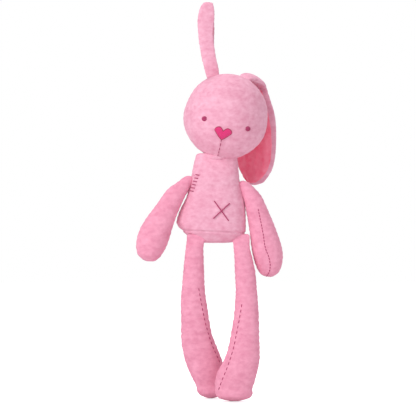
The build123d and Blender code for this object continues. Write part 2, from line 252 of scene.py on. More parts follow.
world = bpy.data.worlds.new("world")
scene.world = world
world.use_nodes = True
worldTree = world.node_tree
background = worldTree.nodes["Background"]
setInputs(background, {"Color": (1, 1, 1, 1), "Strength": 0.55})
rays = addNode(worldTree, "ShaderNodeLightPath")
whiteSky = addNode(worldTree, "ShaderNodeBackground", {"in:Color": (1, 1, 1, 1), "in:Strength": 1.0})
seen = addNode(worldTree, "ShaderNodeMath", {"operation": "MAXIMUM"},
               {"0": rays.outputs["Is Camera Ray"], "1": rays.outputs["Is Glossy Ray"]})
skyMix = addNode(worldTree, "ShaderNodeMixShader", links={"0": seen.outputs[0],
                                                          "1": background.outputs[0], "2": whiteSky.outputs[0]})
worldTree.links.new(skyMix.outputs[0], worldTree.nodes["World Output"].inputs["Surface"])

floorMaterial = bpy.data.materials.new("pale_floor")
floorMaterial.use_nodes = True
floorTree = floorMaterial.node_tree
floorShader = floorTree.nodes["Principled BSDF"]
setInputs(floorShader, {"Base Color": (0.9, 0.9, 0.9, 1), "Roughness": 0.9, "Emission Color": (1, 1, 1, 1)})
floorRays = addNode(floorTree, "ShaderNodeLightPath")
glow = addNode(floorTree, "ShaderNodeMath", {"operation": "MULTIPLY", "in:1": 0.62},
               {"0": floorRays.outputs["Is Camera Ray"]})
floorTree.links.new(glow.outputs[0], floorShader.inputs["Emission Strength"])
floorMesh = bpy.data.meshes.new("floor")
corners = [(x, y, -0.5 * mm) for x, y in ((-4, -4), (4, -4), (4, 4), (-4, 4))]
floorMesh.from_pydata(corners, [], [(0, 1, 2, 3)])
floorMesh.materials.append(floorMaterial)
floor = linked("floor", floorMesh)
scene.view_settings.view_transform = "Standard"
print("camera and lights set")


def shadeSmooth(mesh):
    mesh.polygons.foreach_set("use_smooth", [True] * len(mesh.polygons))


def wear(mesh, material):
    mesh.materials.clear()
    mesh.materials.append(material)


def turnFacesOut(bm):
    bmesh.ops.recalc_face_normals(bm, faces=bm.faces[:])


def settledMesh(obj):
    return bpy.data.meshes.new_from_object(obj.evaluated_get(bpy.context.evaluated_depsgraph_get()))


def addObject(name, bm, material):
    mesh = bpy.data.meshes.new(name)
    bm.normal_update()
    bm.to_mesh(mesh)
    bm.free()
    mesh.materials.append(material)
    shadeSmooth(mesh)
    return linked(name, mesh)


def slicesOf(nodes, turn, low, high, count):
    inverse = turn.inverted()
    whole = bmesh.new()
    for name in nodes:
        part = frame["nodes"][name].data.copy()
        part.transform(inverse)
        whole.from_mesh(part)
        bpy.data.meshes.remove(part)
    rings = []
    for step in range(count):
        level = low + (high - low) * step / (count - 1)
        cut = whole.copy()
        found = bmesh.ops.bisect_plane(cut, geom=cut.verts[:] + cut.edges[:] + cut.faces[:],
                                       plane_co=(0, 0, level), plane_no=(0, 0, 1))
        points = np.array([v.co for v in found["geom_cut"] if isinstance(v, bmesh.types.BMVert)])
        lowest, highest = points.min(0), points.max(0)
        middle = (lowest + highest) / 2
        half = (highest - lowest) / 2
        rings.append([middle[0], middle[1], level, half[0], half[1]])
        cut.free()
    whole.free()
    return rings


# distance from the seam given to the middle of an end, and the least depth that sets the seam's width
farFromSeam, leastDepth = 0.02, 0.004


# the sides between the loops and a fan over each end
def skinLoops(bm, loops, around, seam):
    for lower, upper in zip(loops, loops[1:]):
        for step in range(around):
            after = (step + 1) % around
            bm.faces.new((lower[step], lower[after], upper[after], upper[step]))
    middles = []
    for loop in (loops[0], loops[-1]):
        middle = bm.verts.new(sum((v.co for v in loop), Vector()) / around)
        middle[seam] = farFromSeam
        for step in range(around):
            bm.faces.new((loop[step], loop[(step + 1) % around], middle))
        middles.append(middle)
    turnFacesOut(bm)
    return middles


def loftRings(name, rings, around, turn, material, squareness=2.15):
    bm = bmesh.new()
    seam = bm.verts.layers.float.new("seam")
    along = bm.verts.layers.float.new("along")
    loops = []
    for x, y, z, halfWidth, halfDepth in rings:
        loop = []
        for step in range(around):
            angle = 2 * math.pi * step / around
            across, deep = math.cos(angle), math.sin(angle)
            px = math.copysign(abs(across) ** (2 / squareness), across) * halfWidth
            py = math.copysign(abs(deep) ** (2 / squareness), deep) * halfDepth
            vert = bm.verts.new(turn @ Vector((x + px, y + py, z)))
            vert[seam] = deep * max(halfDepth, leastDepth)
            vert[along] = z
            loop.append(vert)
        loops.append(loop)
    for middle, loop in zip(skinLoops(bm, loops, around, seam), (loops[0], loops[-1])):
        middle[along] = loop[0][along]
    return addObject(name, bm, material)


def distancesAlong(places):
    return np.concatenate([[0], np.cumsum(np.linalg.norm(np.diff(places, axis=0), axis=1))])


# rows of a smooth curve through the knots, evenly spaced along it: distance, value and slope
def smoothCurve(rows, placeColumns, count):
    knots = np.array(rows, float)
    lengths = distancesAlong(knots[:, :placeColumns])
    slopes = np.gradient(knots, lengths, axis=0)
    samples = []
    for distance in np.linspace(0, lengths[-1], count):
        index = min(np.searchsorted(lengths, distance, side="right") - 1, len(knots) - 2)
        span = lengths[index + 1] - lengths[index]
        t = (distance - lengths[index]) / span
        a = (2 * t ** 3 - 3 * t ** 2 + 1) * knots[index] + (t ** 3 - 2 * t ** 2 + t) * span * slopes[index]
        b = (-2 * t ** 3 + 3 * t ** 2) * knots[index + 1] + (t ** 3 - t ** 2) * span * slopes[index + 1]
        da = (6 * t * t - 6 * t) / span * knots[index] + (3 * t * t - 4 * t + 1) * slopes[index]
        db = (6 * t - 6 * t * t) / span * knots[index + 1] + (3 * t * t - 2 * t) * slopes[index + 1]
        samples.append((distance, a + b, da + db))
    return samples


def smoothRings(rings, count):
    return [list(value) for _, value, _ in smoothCurve(rings, 3, count)]


def puff(obj, pressure, cap, slack=0.02, frames=20):
    # every point is held softly, so the pressure only rounds the form
    pins = obj.vertex_groups.new(name="pins")
    pins.add(list(range(len(obj.data.vertices))), 0.9, "REPLACE")
    modifier = obj.modifiers.new("cloth", "CLOTH")
    cloth = modifier.settings
    cloth.quality = 4
    cloth.use_pressure = True
    cloth.uniform_pressure_force = pressure
    cloth.shrink_min = -slack
    cloth.effector_weights.gravity = 0
    cloth.vertex_group_mass = "pins"
    scene.frame_start = 1
    scene.frame_end = frames
    for step in range(1, frames + 1):
        scene.frame_set(step)
    settled = settledMesh(obj)
    before = np.empty(len(obj.data.vertices) * 3)
    after = np.empty_like(before)
    obj.data.vertices.foreach_get("co", before)
    settled.vertices.foreach_get("co", after)
    move = (after - before).reshape(-1, 3)
    size = np.linalg.norm(move, axis=1, keepdims=True)
    limit = cap * np.tanh(size / cap)
    move *= np.divide(limit, size, out=np.zeros_like(size), where=size > 0)
    obj.data.vertices.foreach_set("co", (before.reshape(-1, 3) + move).ravel())
    obj.modifiers.remove(modifier)
    obj.vertex_groups.remove(pins)
    bpy.data.meshes.remove(settled)
    scene.frame_set(1)
    print("puffed", obj.name, "largest move mm", round(float(size.max()) / mm, 1))


def subdivide(obj, levels):
    modifier = obj.modifiers.new("smooth", "SUBSURF")
    modifier.levels = levels
    modifier.render_levels = levels
    dense = settledMesh(obj)
    obj.modifiers.clear()
    old = obj.data
    obj.data = dense
    bpy.data.meshes.remove(old)
    shadeSmooth(dense)


def detail(obj, look, extra=None):
    mesh = obj.data
    seam = mesh.attributes["seam"].data
    along = mesh.attributes["along"].data
    normals = [vertex.normal.copy() for vertex in mesh.vertices]
    seed = Vector((look["seed"], look["seed"] * 0.7, 0))
    for index, vertex in enumerate(mesh.vertices):
        co = vertex.co
        away, level = seam[index].value, along[index].value
        groove = math.exp(-(away / (look["seamWidth"] * mm)) ** 2)
        near = math.exp(-(away / (6 * mm)) ** 2)
        pucker = math.sin(level / (look["pucker"] * mm) * 2 * math.pi + 2.5 * noise.noise(co * 60 + seed))
        lump = noise.noise(co / (look["lumpSize"] * mm) + seed)
        small = noise.noise(co / (look["smallSize"] * mm) + seed * 3)
        pile = noise.noise(co / (1.7 * mm) + seed) + 0.6 * noise.noise(co / (0.9 * mm) - seed)
        out = (-look["seamDepth"] * groove - look["puckerDepth"] * pucker * near * (1 - groove)
               + look["lump"] * lump + look["small"] * small + look["pileDepth"] * pile)
        if extra:
            out += extra(co, level)
        vertex.co = co + normals[index] * (out * mm)
    mesh.update()


plushDetail = dict(seamWidth=1.1, seamDepth=1.3, pucker=6.5, puckerDepth=0.2, lump=0.9, lumpSize=34,
                   small=0.22, smallSize=11, pileDepth=0.07, seed=1.0)


def treeOf(obj):
    return BVHTree.FromObject(obj, bpy.context.evaluated_depsgraph_get())


def dropOn(tree, x, z, fromY=-1.0, direction=1.0, lift=0.0):
    hit, normal, _, _ = tree.ray_cast(Vector((x, fromY, z)), Vector((0, direction, 0)))
    if hit is None:
        return None, None
    return hit + normal * lift, normal


# stitches, set along a path by geometry nodes
def stitchTree():
    tree = bpy.data.node_groups.new("stitchesAlong", "GeometryNodeTree")
    face = tree.interface
    face.new_socket("Path", in_out="INPUT", socket_type="NodeSocketGeometry")
    for name, value in (("Pitch", 0.0067), ("Length", 0.004), ("Thickness", 0.0008), ("Lean", 0.0)):
        face.new_socket(name, in_out="INPUT", socket_type="NodeSocketFloat").default_value = value
    face.new_socket("Thread", in_out="INPUT", socket_type="NodeSocketMaterial")
    face.new_socket("Stitches", in_out="OUTPUT", socket_type="NodeSocketGeometry")
    given = addNode(tree, "NodeGroupInput").outputs
    out = addNode(tree, "NodeGroupOutput")
    curve = addNode(tree, "GeometryNodeMeshToCurve", links={"Mesh": given["Path"]})
    spaced = addNode(tree, "GeometryNodeResampleCurve", {"mode": "LENGTH"},
                     {"Curve": curve.outputs[0], "Length": given["Pitch"]})
    bead = addNode(tree, "GeometryNodeMeshUVSphere", {"in:Segments": 8, "in:Rings": 6, "in:Radius": 0.5})
    stretch = addNode(tree, "ShaderNodeCombineXYZ", links={"X": given["Length"],
                                                           "Y": given["Thickness"],
                                                           "Z": given["Thickness"]})
    tangent = addNode(tree, "GeometryNodeInputTangent")
    aim = addNode(tree, "FunctionNodeAlignRotationToVector", {"axis": "X"}, {"Vector": tangent.outputs[0]})
    leanAxis = addNode(tree, "ShaderNodeCombineXYZ", links={"Y": given["Lean"]})
    tilt = addNode(tree, "FunctionNodeRotateRotation", {"rotation_space": "GLOBAL"},
                   {"Rotation": aim.outputs[0], "Rotate By": leanAxis.outputs[0]})
    placed = addNode(tree, "GeometryNodeInstanceOnPoints",
                     links={"Points": spaced.outputs[0], "Instance": bead.outputs[0],
                            "Rotation": tilt.outputs[0], "Scale": stretch.outputs[0]})
    real = addNode(tree, "GeometryNodeRealizeInstances", links={"0": placed.outputs[0]})
    smooth = addNode(tree, "GeometryNodeSetShadeSmooth", links={"0": real.outputs[0]})
    painted = addNode(tree, "GeometryNodeSetMaterial",
                      links={"Geometry": smooth.outputs[0], "Material": given["Thread"]})
    tree.links.new(painted.outputs[0], out.inputs[0])
    return tree


stitchesAlong = stitchTree()


def stitch(name, paths, thread, pitch, length, thickness, lean=0.0):
    bm = bmesh.new()
    for path in paths:
        row = [bm.verts.new(point) for point in path]
        for a, b in zip(row, row[1:]):
            bm.edges.new((a, b))
    mesh = bpy.data.meshes.new(name)
    bm.to_mesh(mesh)
    bm.free()
    obj = linked(name, mesh)
    modifier = obj.modifiers.new("stitches", "NODES")
    modifier.node_group = stitchesAlong
    sizes = {"Pitch": pitch * mm, "Length": length * mm, "Thickness": thickness * mm, "Lean": lean,
             "Thread": thread}
    for item in stitchesAlong.interface.items_tree:
        if item.in_out == "INPUT" and item.name in sizes:
            modifier[item.identifier] = sizes[item.name]
    made = settledMesh(obj)
    obj.modifiers.clear()
    obj.data = made
    bpy.data.meshes.remove(mesh)
    if thread.name not in [m.name for m in made.materials if m]:
        made.materials.append(thread)
    return obj


def threadTubes(name, paths, material, radius):
    data = bpy.data.curves.new(name, "CURVE")
    data.dimensions = "3D"
    data.bevel_depth = radius * mm
    data.bevel_resolution = 2
    data.use_fill_caps = True
    for path in paths:
        spline = data.splines.new("POLY")
        spline.points.add(len(path) - 1)
        for point, co in zip(spline.points, path):
            point.co = (*co, 1)
    obj = linked(name, data)
    mesh = settledMesh(obj)
    bpy.data.objects.remove(obj)
    wear(mesh, material)
    shadeSmooth(mesh)
    return linked(name, mesh)


def linePoints(points, spacing=1.0):
    length = distancesAlong(np.array(points, float))[-1]
    return [value for _, value, _ in smoothCurve(points, 2, max(3, int(length / spacing)))]


def pathOn(tree, points, lift=0.2, spacing=1.0):
    path = []
    for x, z in linePoints(points, spacing):
        co, _ = dropOn(tree, x * mm, z * mm, lift=lift * mm)
        if co is not None:
            path.append(co)
    return path


head = dict(around=56, rings=32, roll=12.5, yaw=3.0, halfWidth=53.9, halfHeight=56.0, halfDepth=52.5,
            cheeks=0.035, shift=Vector((0.7, 0, -0.6)), press=54.6)


rollAngle = math.radians(head["roll"])


def headTurn():
    low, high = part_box("head_filling")
    middle = (low + high) / 2
    middle.z = high.z - (high.x - low.x) / 2
    middle += head["shift"] * mm
    roll = Matrix.Rotation(rollAngle, 4, "Y")
    yaw = Matrix.Rotation(math.radians(head["yaw"]), 4, "Z")
    return Matrix.Translation(middle) @ roll @ yaw


def makeHead():
    rings = []
    for step in range(head["rings"] + 1):
        angle = math.pi * (step + 0.35) / (head["rings"] + 0.7)
        ringSize = math.sin(angle)
        height = -math.cos(angle)
        cheeks = 1 + head["cheeks"] * math.exp(-((height + 0.35) / 0.4) ** 2)
        rings.append([0, 0, height * head["halfHeight"] * mm, ringSize * head["halfWidth"] * cheeks * mm,
                      ringSize * head["halfDepth"] * mm])
    obj = loftRings("head_plush", rings, head["around"], headTurn(), minkyPinkPaintedSheen, squareness=2.0)
    puff(obj, 2.5, 1.5 * mm, slack=0.015)
    subdivide(obj, 2)
    detail(obj, {**plushDetail, "seamDepth": 1.0, "lump": 0.8, "seed": 3.0})
    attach(obj, "head")
    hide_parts("head_front_panel", "head_back_panel", "head_filling")
    return obj


headPlush = makeHead()
headSkin = treeOf(headPlush)
print("head made")


# a round eye of upright satin stitches, domed, their ends drawn into the cloth
eye = dict(radius=3.0, rows=9, dome=0.55, ends=0.5, lift=0.35, thread=0.48)


def makeEye(side):
    middle = boxMiddle(f"{side}_eye")
    radius, rows = eye["radius"], eye["rows"]
    paths = []
    for row in range(rows):
        offset = -radius + 2 * radius * (row + 0.5) / rows
        reach = math.sqrt(radius ** 2 - offset ** 2)
        path = []
        for step in range(9):
            t = -1 + step / 4
            dome = eye["dome"] * (1 - t * t) * (reach / radius) - (eye["ends"] if abs(t) == 1 else 0)
            co, normal = dropOn(headSkin, middle.x + offset * mm, middle.z + t * reach * mm)
            path.append(co + normal * ((eye["lift"] + dome) * mm))
        paths.append(path)
    obj = threadTubes(f"{side}_eye_satin", paths, plumThread, eye["thread"])
    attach(obj, "head")
    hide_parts(f"{side}_eye")


for side in sides:
    makeEye(side)

# a heart of satin stitches: lobes at the top, a notch between them and a tip below
nose = dict(halfWidth=11.0, lobe=5.4, lobeRise=1.8, lobeHeight=5.2, notch=0.6, notchRise=4.6, tip=8.2, row=0.8,
            thread=0.5, padding=1.5, sunk=-0.2, rimThread=0.55, rimLift=0.35, rimSteps=60)


def noseHalfHeights(x):
    away = abs(x)
    share = min(away / nose["halfWidth"], 1)
    if away < nose["lobe"]:
        top = nose["lobeRise"] + nose["notch"] + nose["notchRise"] * math.sin(math.pi / 2 * away / nose["lobe"])
    else:
        fromLobe = min(1, (away - nose["lobe"]) / (nose["halfWidth"] - nose["lobe"]))
        top = nose["lobeRise"] + nose["lobeHeight"] * math.sqrt(max(0, 1 - fromLobe ** 2))
    bottom = -nose["tip"] + (nose["tip"] + nose["lobeRise"]) * share ** 1.25
    return bottom, max(top, bottom)


def makeNose():
    middle = boxMiddle("nose_patch")
    c, s = math.cos(rollAngle), math.sin(rollAngle)

    def onFace(x, z, lift):
        turned = Vector((x * c + z * s, -x * s + z * c))
        co, normal = dropOn(headSkin, middle.x + turned.x * mm, middle.z + turned.y * mm)
        return co + normal * (lift * mm)

    fillPaths = []
    count = int(2 * nose["halfWidth"] / nose["row"])
    for row in range(count + 1):
        x = -nose["halfWidth"] + 0.3 + (2 * nose["halfWidth"] - 0.6) * row / count
        bottom, top = noseHalfHeights(x)
        path = []
        for step in range(11):
            t = step / 10
            z = bottom + (top - bottom) * t
            edge = math.sin(math.pi * t) ** 0.5
            side = math.sqrt(max(0, 1 - (abs(x) / nose["halfWidth"]) ** 2))
            path.append(onFace(x, z, nose["sunk"] + nose["padding"] * edge * (0.35 + 0.65 * side)))
        fillPaths.append(path)
    fill = threadTubes("nose_satin", fillPaths, magentaThread, nose["thread"])
    rim = []
    for way, part in ((1, 1), (-1, 0)):
        for step in range(nose["rimSteps"] + 1):
            x = way * (-nose["halfWidth"] + 2 * nose["halfWidth"] * step / nose["rimSteps"])
            rim.append((x, noseHalfHeights(x)[part]))
    rim.append(rim[0])
    rimPath = [onFace(x, z, nose["rimLift"]) for x, z in rim]
    edge = threadTubes("nose_outline", [rimPath], crimsonThread, nose["rimThread"])
    for obj in (fill, edge):
        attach(obj, "head")
    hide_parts("nose_patch")


makeNose()


def makeMouth():
    low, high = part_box("mouth_stitches")
    middle = boxMiddle("nose_patch")
    lean = math.tan(rollAngle)
    start = (middle.x - lean * (middle.z - high.z)) / mm, high.z / mm
    end = (middle.x - lean * (middle.z - low.z)) / mm - 1.0, low.z / mm - 4.0
    path = pathOn(headSkin, [start, ((start[0] + end[0]) / 2 + 0.3, (start[1] + end[1]) / 2), end], lift=0.45)
    obj = stitch("mouth_thread", [path], plumThread, 6.2, 6.4, 1.05)
    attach(obj, "head")
    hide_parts("mouth_stitches")


makeMouth()
print("face made")


# torso, with its back opening, flap and tapes
# rings: height, centre, half width, half depth
torso = dict(around=56, levels=22, rings=44, upper=[
             (285, 8.2, 31.6, 23.5), (293, 8.3, 31.0, 22), (301, 8.3, 29.9, 19.5), (309, 8.5, 28.6, 16),
             (315, 8.8, 27.4, 13.5), (320, 9.2, 25.4, 12), (323.5, 10, 18, 9), (324.5, 10, 9, 5)],
             lower=[(203.5, 11, 7, 5), (204.6, 11, 20, 11), (208, 10.5, 30, 16.5), (213, 9.5, 36.5, 20.5)],
             baseSeam=218.5, corner=2.6, cornerHeight=227)


def makeTorso():
    panels = ["torso_front_panel", "torso_back_panel", "torso_base_panel"]
    rings = slicesOf(panels, upright, 0.2155, 0.276, torso["levels"])
    for ring in rings:
        bulge = torso["corner"] * mm * math.exp(-((ring[2] / mm - torso["cornerHeight"]) / 7) ** 2)
        ring[0] -= bulge / 2
        ring[3] += bulge / 2
    knots = [[x * mm, 0, z * mm, w * mm, d * mm] for z, x, w, d in torso["lower"]]
    knots += rings[2::3]
    knots += [[x * mm, 0, z * mm, w * mm, d * mm] for z, x, w, d in torso["upper"]]
    for knot in knots:
        knot[1] = 0
    rings = smoothRings(knots, torso["rings"])
    obj = loftRings("torso_plush", rings, torso["around"], upright, minkyPinkPaintedSheen, squareness=2.3)
    puff(obj, 3.0, 2.0 * mm, slack=0.02)
    ball = headTurn().translation
    for vertex in obj.data.vertices:
        away = vertex.co - ball
        if away.length < head["press"] * mm:
            vertex.co = ball + away.normalized() * head["press"] * mm
    subdivide(obj, 2)

    def baseSeam(co, along):
        away = (along / mm - torso["baseSeam"] + 0.035 * (co.x / mm - 9)) / 1.3
        return -1.4 * math.exp(-away * away)

    detail(obj, {**plushDetail, "seed": 7.0}, baseSeam)
    return obj


torsoPlush = makeTorso()
torsoSkin = treeOf(torsoPlush)


def cutOut(source, name, low, high, keepInside):
    bm = bmesh.new()
    bm.from_mesh(source.data)
    for axis, value in ((0, low[0]), (0, high[0]), (2, low[1]), (2, high[1])):
        direction = Vector((0, 0, 0))
        direction[axis] = 1
        back = [f for f in bm.faces if f.calc_center_median().y > 0]
        edges = list({e for f in back for e in f.edges})
        verts = list({v for f in back for v in f.verts})
        bmesh.ops.bisect_plane(bm, geom=verts + edges + back, plane_co=direction * value, plane_no=direction)

    def isInside(face):
        c = face.calc_center_median()
        return c.y > 0 and low[0] < c.x < high[0] and low[1] < c.z < high[1]

    doomed = [f for f in bm.faces if isInside(f) != keepInside]
    bmesh.ops.delete(bm, geom=doomed, context="FACES")
    if keepInside:
        return addObject(name, bm, source.data.materials[0])
    bm.to_mesh(source.data)
    bm.free()
    return source


def outwardOn(place):
    # away from an oval torso, free of the plush's own lumps
    return Vector(((place.x - 0.0066) / 40 ** 2, place.y / 27 ** 2, 0)).normalized()


def bandOn(name, low, high, offset, thickness, material):
    obj = cutOut(torsoPlush, name, low, high, True)
    bm = bmesh.new()
    bm.from_mesh(obj.data)
    inner = {v: v.co + outwardOn(v.co) * offset * mm for v in bm.verts}
    outer = {v: bm.verts.new(v.co + outwardOn(v.co) * (offset + thickness) * mm) for v in list(bm.verts)}
    for f in list(bm.faces):
        bm.faces.new([outer[v] for v in f.verts])
        f.normal_flip()
    for e in list(bm.edges):
        if len(e.link_faces) == 1 and e.verts[0] in inner and e.verts[1] in inner:
            a, b = e.verts
            bm.faces.new((a, b, outer[b], outer[a]))
    for v, place in inner.items():
        v.co = place
    turnFacesOut(bm)
    bm.to_mesh(obj.data)
    bm.free()
    wear(obj.data, material)
    return obj


def nodeSpan(node):
    low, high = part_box(node)
    return (low.x, low.z), (high.x, high.z)


# lift off the torso and thickness
bands = dict(flap=(1.9, 1.6), hook=(1.1, 0.7), loop=(0.2, 0.8))
flapPlush = bandOn("closure_flap_plush", *nodeSpan("closure_flap"), *bands["flap"], minkyPinkPaintedSheen)
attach(flapPlush, "closure_flap")
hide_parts("closure_flap")
hookTape = bandOn("closure_hook_tape", *nodeSpan("closure_hook_strip"), *bands["hook"], tapePink)
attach(hookTape, "closure_flap")
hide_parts("closure_hook_strip")
loopTape = bandOn("closure_loop_tape", *nodeSpan("closure_loop_strip"), *bands["loop"], tapePink)
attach(loopTape, "torso")
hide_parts("closure_loop_strip")


def flapHem():
    skin = treeOf(flapPlush)
    low, high = nodeSpan("closure_flap")
    inset = 3.5 * mm
    left, right, bottom, top = low[0] + inset, high[0] - inset, low[1] + inset, high[1] - inset
    corners = [(left, top), (left, bottom), (right, bottom), (right, top)]
    paths = []
    for (ax, az), (bx, bz) in zip(corners, corners[1:]):
        path = []
        for step in range(40):
            t = step / 39
            co, _ = dropOn(skin, ax + (bx - ax) * t, az + (bz - az) * t, fromY=1, direction=-1, lift=0.15 * mm)
            if co is not None:
                path.append(co)
        paths.append(path)
    obj = stitch("flap_hem_stitches", paths, seamThread, 3.2, 2.6, 0.7)
    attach(obj, "closure_flap")


flapHem()
windowHalf = 24.5 * mm
opening = boxMiddle("module_back_case")
torsoPlush = cutOut(torsoPlush, "torso_plush", (opening.x - windowHalf, opening.z - windowHalf),
                    (opening.x + windowHalf, opening.z + windowHalf), False)
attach(torsoPlush, "torso")
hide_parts("torso_front_panel", "torso_back_panel", "torso_base_panel")


# a lumpy block inside the torso; inset keeps it clear of the plush
wadding = dict(voxel=2.4, lump=0.4, inset=5, lumpSize=7, tuftSize=2.5)


def makeWadding():
    bm = bmesh.new()
    bm.from_mesh(frame["nodes"]["torso_filling"].data)
    bmesh.ops.remove_doubles(bm, verts=bm.verts[:], dist=1e-6)
    obj = addObject("torso_wadding", bm, waddingWhite)
    remesh = obj.modifiers.new("remesh", "REMESH")
    remesh.mode = "VOXEL"
    remesh.voxel_size = wadding["voxel"] * mm
    made = settledMesh(obj)
    obj.modifiers.clear()
    obj.data = made
    shadeSmooth(made)
    wear(made, waddingWhite)
    for vertex in made.vertices:
        rough = noise.noise(vertex.co / (wadding["lumpSize"] * mm)) - wadding["inset"]
        rough += 0.5 * noise.noise(vertex.co / (wadding["tuftSize"] * mm))
        vertex.co = vertex.co + vertex.normal * (wadding["lump"] * rough * mm)
    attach(obj, "torso")
    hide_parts("torso_filling")


makeWadding()


# faces round a grid that closes on itself both ways
def closeGrid(bm, loops):
    for here, after in zip(loops, loops[1:] + loops[:1]):
        for j in range(len(here)):
            k = (j + 1) % len(here)
            bm.faces.new((here[j], here[k], after[k], after[j]))
    turnFacesOut(bm)


pouch = dict(cloth=0.8, around=96, tucks=17, tuckDepth=0.18)


def makePouch():
    low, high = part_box("module_pouch")
    middle = (low + high) / 2
    radius, cloth, around = (high.x - low.x) / 2, pouch["cloth"] * mm, pouch["around"]
    profile = [(radius - cloth, high.y), (radius + 0.3 * mm, high.y + 0.1 * mm),
               (radius + 0.5 * mm, high.y - 1.5 * mm), (radius, high.y - 3 * mm), (radius, middle.y),
               (radius, low.y + 1.5 * mm), (radius - 1.2 * mm, low.y),
               (radius * 0.5, low.y), (0.5 * mm, low.y), (0.5 * mm, low.y + cloth * 0.9),
               (radius * 0.5, low.y + cloth * 0.9), (radius - cloth - 0.6 * mm, low.y + cloth * 0.9),
               (radius - cloth, low.y + 1.8 * mm), (radius - cloth, middle.y)]
    bm = bmesh.new()
    loops = []
    for step in range(around):
        angle = 2 * math.pi * step / around
        loop = []
        for r, y in profile:
            waved = r > radius - 0.1 * mm
            tuck = pouch["tuckDepth"] * mm * math.sin(angle * pouch["tucks"] + y * 300) if waved else 0
            loop.append(bm.verts.new((middle.x + (r + tuck) * math.cos(angle), y,
                                      middle.z + (r + tuck) * math.sin(angle))))
        loops.append(loop)
    closeGrid(bm, loops)
    obj = addObject("module_pouch_calico", bm, cottonCream)
    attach(obj, "torso")
    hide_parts("module_pouch")


makePouch()


def makeBellyCross():
    low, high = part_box("belly_cross_stitch")
    x0, x1, z0, z1 = low.x / mm + 0.8, high.x / mm - 0.8, low.z / mm + 0.6, high.z / mm - 0.6
    falling = pathOn(torsoSkin, [(x0 + 1.2, z1), (x1 - 1.2, z0)], lift=0.5)
    rising = pathOn(torsoSkin, [(x0, z0 + 3), (x1, z1 - 3.2)], lift=1.0)
    obj = threadTubes("belly_cross_thread", [falling, rising], plumThread, 0.75)
    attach(obj, "torso")
    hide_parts("belly_cross_stitch")


makeBellyCross()


ladder = dict(rows=6, left=1.6, right=2.8, fall=0.9, thread=0.6)


def makeLadder():
    low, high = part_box("shoulder_ladder_stitches")
    paths = []
    for row in range(ladder["rows"]):
        t = row / (ladder["rows"] - 1)
        z = high.z + 0.001 - (high.z - low.z + 0.002) * t
        x = high.x - 0.0035 - (high.x - low.x - 0.0035) * t
        rung = [(x / mm - ladder["left"], z / mm), (x / mm + ladder["right"], z / mm - ladder["fall"])]
        paths.append(pathOn(torsoSkin, rung, lift=0.5, spacing=0.6))
    obj = threadTubes("shoulder_ladder_thread", paths, plumThread, ladder["thread"])
    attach(obj, "torso")
    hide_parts("shoulder_ladder_stitches")


makeLadder()
print("torso made")


# neck roll, which hides the joint between the head and the torso
neck = dict(major=13, minor=4.4, count=60, sides=16, gathers=19, gatherDepth=0.06)


def makeNeck():
    middle = boxMiddle("neck_seam")
    bm = bmesh.new()
    major, minor = neck["major"] * mm, neck["minor"] * mm
    grid = []
    for i in range(neck["count"]):
        a = 2 * math.pi * i / neck["count"]
        gather = 1 + neck["gatherDepth"] * math.sin(a * neck["gathers"])
        loop = []
        for j in range(neck["sides"]):
            b = 2 * math.pi * j / neck["sides"]
            r = major + minor * gather * math.cos(b)
            loop.append(bm.verts.new(middle + Vector((r * math.cos(a), r * math.sin(a),
                                                      minor * gather * math.sin(b)))))
        grid.append(loop)
    closeGrid(bm, grid)
    obj = addObject("neck_gather", bm, minkyPinkPaintedSheen)
    subdivide(obj, 1)
    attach(obj, "neck_nodding")
    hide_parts("neck_seam", "neck_filling")


makeNeck()


# root: height above the shoulder, shift towards the torso, half width, half depth
arm = dict(around=36, slices=18, rings=36, blend=26, sides={
    "right": dict(turn=3.6, longer=-3, root=[(7.5, 6.6, 2.2, 2.2), (6.2, 6.0, 4.6, 4.0), (2.5, 4.6, 6.8, 5.4),
                                             (-3.5, 2.6, 8.2, 6.4)]),
    "left": dict(turn=2.4, longer=5, root=[(2.6, -6.0, 2.2, 2.2), (1.0, -5.2, 5.0, 4.0), (-3.0, -3.6, 7.6, 5.6),
                                           (-8.0, -1.8, 9.2, 6.8)]),
})


def limbTurn(node, pivot):
    points = np.array([v.co for v in frame["nodes"][node].data.vertices])
    low, high = points.min(0), points.max(0)
    lowest = points[points[:, 2] < low[2] + 0.004].mean(0)
    down = (Vector(lowest) - pivot).normalized()
    z = -down
    y = z.cross(Vector((1, 0, 0))).normalized()
    x = y.cross(z).normalized()
    turn = Matrix((x, y, z)).transposed().to_4x4()
    return Matrix.Translation(pivot) @ turn, (Vector(lowest) - pivot).length


def makeArm(side):
    pivot = pivotOf(f"{side}_arm_swing")
    look = arm["sides"][side]
    turn, length = limbTurn(f"{side}_arm_front_panel", pivot)
    panels = [f"{side}_arm_front_panel", f"{side}_arm_back_panel"]
    slices = slicesOf(panels, turn, -length + 0.0035, -0.016, arm["slices"])
    for ring in slices:
        ring[2] *= 1 + look["longer"] * mm / length
    length += look["longer"] * mm
    tip = slices[0]
    knots = [[tip[0], tip[1], -length - 0.0035, 0.0016, 0.0014],
             [tip[0], tip[1], -length - 0.0022, tip[3] * 0.5, tip[4] * 0.5]]
    knots += slices[::2]
    knots += [[x * mm, 0, up * mm, w * mm, d * mm] for up, x, w, d in reversed(look["root"])]
    rings = smoothRings(knots, arm["rings"])
    inwards = Matrix.Rotation(math.radians(look["turn"]) * (-1 if side == "right" else 1), 4, "Y")
    turn = Matrix.Translation(pivot) @ inwards @ Matrix.Translation(-pivot) @ turn
    obj = loftRings(f"{side}_arm_plush", rings, arm["around"], turn, minkyRosePaintedShade)
    puff(obj, 3.0, 1.2 * mm, slack=0.03)
    subdivide(obj, 2)
    detail(obj, {**plushDetail, "seed": 11.0 if side == "right" else 13.0})
    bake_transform(obj)
    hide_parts(f"{side}_arm_front_panel", f"{side}_arm_back_panel", f"{side}_arm_filling",
                f"{side}_shoulder_filling")
    return obj


